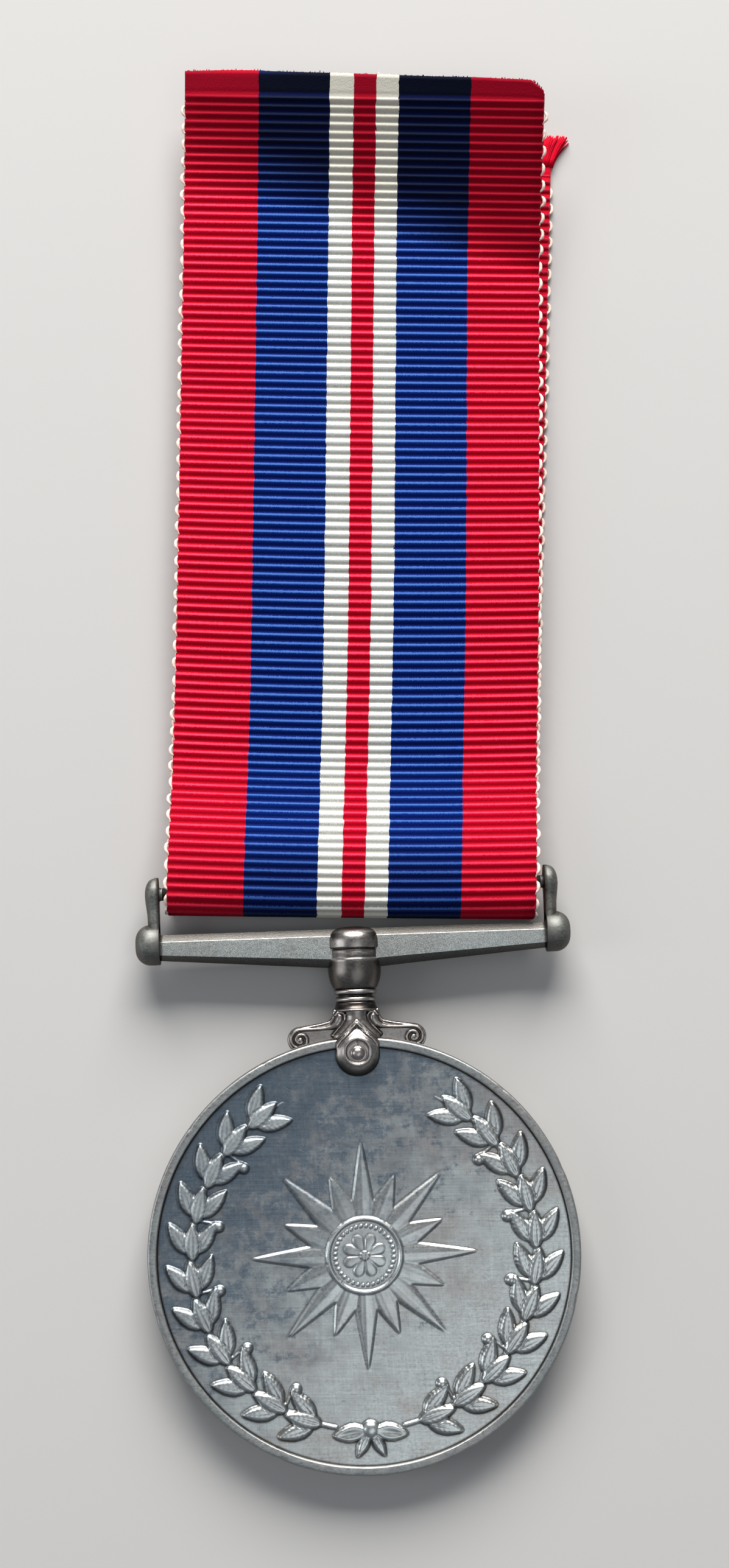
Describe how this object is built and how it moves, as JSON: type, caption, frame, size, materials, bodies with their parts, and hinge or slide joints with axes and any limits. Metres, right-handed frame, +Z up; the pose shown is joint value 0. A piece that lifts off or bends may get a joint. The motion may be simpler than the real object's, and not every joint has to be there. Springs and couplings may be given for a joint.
{
  "type": "campaign medal with ribbon",
  "caption": "Round struck medal on a claw and scroll fitting under a straight ribbon bar, with a loose striped ribbon folded round the rod, lying flat.",
  "frame": {"origin": "middle of the object's outline on the surface that it lies on", "axes": "+Y from the disc to the ribbon's free ends, +X to the right seen from the front, +Z up out of the medal's face"},
  "size_m": [0.0382, 0.1207, 0.005],
  "materials": {
    "disc_metal": "struck cupro-nickel, toned blue-grey, with fine hairlines",
    "suspender_metal": "cast and soldered cupro-nickel, frosted bar and brighter worn edges",
    "pin_metal": "peened cupro-nickel pin",
    "ribbon_cloth": "ribbed silk ribbon in red, dark blue and white stripes"
  },
  "bodies": {
    "root": {"medal_disc": "disc_metal", "suspender": "suspender_metal", "claw_pin": "pin_metal", "ribbon": "ribbon_cloth"}
  },
  "joints": []
}
